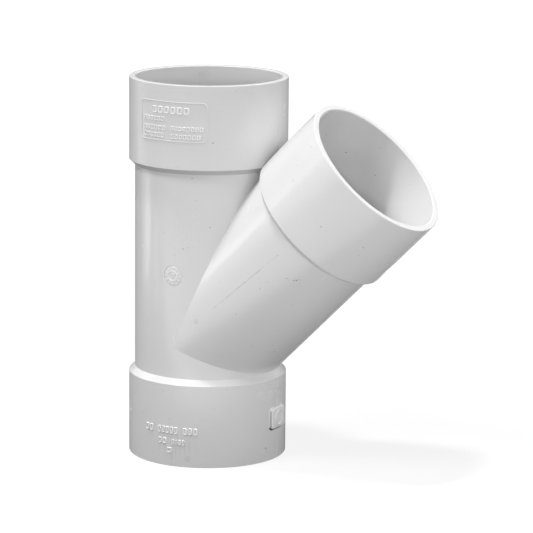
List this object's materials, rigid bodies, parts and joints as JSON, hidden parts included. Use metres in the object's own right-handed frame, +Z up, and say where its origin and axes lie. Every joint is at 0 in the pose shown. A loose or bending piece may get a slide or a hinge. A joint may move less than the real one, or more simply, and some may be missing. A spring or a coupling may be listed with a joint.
{
  "type": "forty-five degree branch fitting",
  "caption": "Moulded plastic drain fitting: an upright run with a collared socket at each end and a slanting branch of equal bore ending in a third socket.",
  "frame": {"origin": "centre of the lower socket's mouth, on the plane that the fitting stands on", "axes": "+Z up the run from the lower mouth to the upper mouth; the branch leaves the run towards +X and +Z at 45 degrees; +Y completes a right-handed frame, and the marking plaque faces -Y"},
  "size_m": [0.1527, 0.0759, 0.182],
  "materials": {
    "fitting_plastic": "moulded pale grey-white plastic with a soft sheen, fine specks and light handling scuffs"
  },
  "bodies": {
    "root": {"branch_fitting": "fitting_plastic"}
  },
  "joints": []
}
